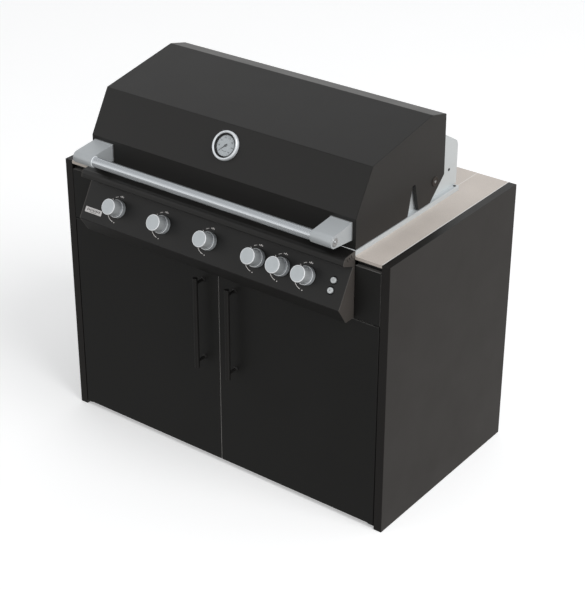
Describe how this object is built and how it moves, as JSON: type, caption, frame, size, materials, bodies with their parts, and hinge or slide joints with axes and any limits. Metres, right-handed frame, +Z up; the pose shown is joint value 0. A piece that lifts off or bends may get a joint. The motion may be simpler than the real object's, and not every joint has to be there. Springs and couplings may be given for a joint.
{
  "type": "gas barbecue grill",
  "caption": "Built-in gas grill with a hinged faceted lid, bar handle and push-turn knobs, set in an outdoor cabinet with doors and stone worktop strips.",
  "frame": {"origin": "on the floor, under the centre of the whole object's box", "axes": "+Z up, front of the grill towards -Y, +X to the right of a person facing it (their right hand)"},
  "size_m": [1.23, 0.789, 1.1969],
  "materials": {
    "board_black": "satin",
    "powder_black": "satin",
    "lid_black": "satin",
    "worktop_stone": "fine honed",
    "stainless": "brushed",
    "steel_inner": "mill",
    "knob_metal": "satin chrome",
    "bar_black": "satin",
    "frame_alu": "mill",
    "grate_iron": "matt enamel",
    "brass": "plain",
    "foot_plastic": "plain",
    "module_plastic": "plain",
    "button_light": "satin",
    "badge": "satin",
    "dial_white": "satin",
    "needle_dark": "matt",
    "glass": "clear",
    "ceramic": "matt"
  },
  "bodies": {
    "cabinet": {"side_panel_left": "board_black", "side_panel_right": "board_black", "back_panel": "board_black", "base_panel": "board_black", "levelling_feet": "foot_plastic", "frame_rails": "frame_alu", "fascia_panels": "board_black", "worktop_left": "worktop_stone", "worktop_right": "worktop_stone", "worktop_rear": "worktop_stone", "door_pivots": "frame_alu", "grill_rim": "stainless", "firebox": "steel_inner", "main_burners": "steel_inner", "flame_tamers": "steel_inner", "cooking_grates": "grate_iron", "warming_rack": "steel_inner", "rear_burner": "ceramic", "rear_housing": "stainless", "housing_side_plates": "stainless", "lid_hinge_pins": "stainless", "gas_manifold": "brass", "gas_valves": "brass", "gas_inlet": "brass", "ignition_module": "module_plastic", "grease_tray": "steel_inner", "control_panel": "powder_black", "control_rail": "powder_black", "panel_end_caps": "powder_black", "knob_bezels": "knob_metal", "badge_plate": "badge"},
    "door_left": {"door_panel_left": "board_black", "door_handle_left": "bar_black"},
    "door_right": {"door_panel_right": "board_black", "door_handle_right": "bar_black"},
    "lid": {"lid_skin": "lid_black", "lid_liner": "steel_inner", "lid_cheek_left": "lid_black", "lid_cheek_right": "lid_black", "lid_handle_bar": "stainless", "lid_handle_posts": "stainless", "lid_hinge_caps": "foot_plastic", "thermometer_case": "stainless", "thermometer_dial": "dial_white", "thermometer_glass": "glass"},
    "needle": {"thermometer_needle": "needle_dark"},
    "stem_1": {"valve_stem_1": "steel_inner"},
    "knob_1": {"knob_1": "knob_metal"},
    "stem_2": {"valve_stem_2": "steel_inner"},
    "knob_2": {"knob_2": "knob_metal"},
    "stem_3": {"valve_stem_3": "steel_inner"},
    "knob_3": {"knob_3": "knob_metal"},
    "stem_4": {"valve_stem_4": "steel_inner"},
    "knob_4": {"knob_4": "knob_metal"},
    "stem_5": {"valve_stem_5": "steel_inner"},
    "knob_5": {"knob_5": "knob_metal"},
    "stem_6": {"valve_stem_6": "steel_inner"},
    "knob_6": {"knob_6": "knob_metal"},
    "button_ignition": {"button_ignition": "button_light"},
    "button_light": {"button_light": "button_light"}
  },
  "joints": [
    {"name": "door_left_hinge", "type": "hinge", "parent": "cabinet", "child": "door_left", "pos_m": [-0.5805, -0.2905, 0.357], "axis": [0, 0, -1], "range_deg": [0, 95]},
    {"name": "door_right_hinge", "type": "hinge", "parent": "cabinet", "child": "door_right", "pos_m": [0.5805, -0.2905, 0.357], "axis": [0, 0, 1], "range_deg": [0, 95]},
    {"name": "lid_hinge", "type": "hinge", "parent": "cabinet", "child": "lid", "pos_m": [0, 0.1135, 0.979], "axis": [-1, 0, 0], "range_deg": [0, 90]},
    {"name": "thermometer_needle_turn", "type": "hinge", "parent": "lid", "child": "needle", "pos_m": [0, -0.25176, 1.0907], "axis": [0, 0.8634, -0.5045], "range_deg": [0, 270], "stiffness_Nm_per_rad": 0.0005},
    {"name": "knob_1_turn", "type": "hinge", "parent": "cabinet", "child": "stem_1", "pos_m": [-0.36, -0.336, 0.81198], "axis": [0, -0.866, 0.5], "range_deg": [0, 200]},
    {"name": "knob_1_push", "type": "slide", "parent": "stem_1", "child": "knob_1", "axis": [0, 0.866, -0.5], "range_m": [0, 0.004], "stiffness_N_per_m": 900, "springref_m": -0.004},
    {"name": "knob_2_turn", "type": "hinge", "parent": "cabinet", "child": "stem_2", "pos_m": [-0.18, -0.336, 0.81198], "axis": [0, -0.866, 0.5], "range_deg": [0, 200]},
    {"name": "knob_2_push", "type": "slide", "parent": "stem_2", "child": "knob_2", "axis": [0, 0.866, -0.5], "range_m": [0, 0.004], "stiffness_N_per_m": 900, "springref_m": -0.004},
    {"name": "knob_3_turn", "type": "hinge", "parent": "cabinet", "child": "stem_3", "pos_m": [0, -0.336, 0.81198], "axis": [0, -0.866, 0.5], "range_deg": [0, 200]},
    {"name": "knob_3_push", "type": "slide", "parent": "stem_3", "child": "knob_3", "axis": [0, 0.866, -0.5], "range_m": [0, 0.004], "stiffness_N_per_m": 900, "springref_m": -0.004},
    {"name": "knob_4_turn", "type": "hinge", "parent": "cabinet", "child": "stem_4", "pos_m": [0.18, -0.336, 0.81198], "axis": [0, -0.866, 0.5], "range_deg": [0, 200]},
    {"name": "knob_4_push", "type": "slide", "parent": "stem_4", "child": "knob_4", "axis": [0, 0.866, -0.5], "range_m": [0, 0.004], "stiffness_N_per_m": 900, "springref_m": -0.004},
    {"name": "knob_5_turn", "type": "hinge", "parent": "cabinet", "child": "stem_5", "pos_m": [0.27, -0.336, 0.81198], "axis": [0, -0.866, 0.5], "range_deg": [0, 200]},
    {"name": "knob_5_push", "type": "slide", "parent": "stem_5", "child": "knob_5", "axis": [0, 0.866, -0.5], "range_m": [0, 0.004], "stiffness_N_per_m": 900, "springref_m": -0.004},
    {"name": "knob_6_turn", "type": "hinge", "parent": "cabinet", "child": "stem_6", "pos_m": [0.36, -0.336, 0.81198], "axis": [0, -0.866, 0.5], "range_deg": [0, 200]},
    {"name": "knob_6_push", "type": "slide", "parent": "stem_6", "child": "knob_6", "axis": [0, 0.866, -0.5], "range_m": [0, 0.004], "stiffness_N_per_m": 900, "springref_m": -0.004},
    {"name": "button_ignition_press", "type": "slide", "parent": "cabinet", "child": "button_ignition", "axis": [0, 0.866, -0.5], "range_m": [0, 0.003], "stiffness_N_per_m": 300, "springref_m": -0.003},
    {"name": "button_light_press", "type": "slide", "parent": "cabinet", "child": "button_light", "axis": [0, 0.866, -0.5], "range_m": [0, 0.003], "stiffness_N_per_m": 300, "springref_m": -0.003}
  ]
}
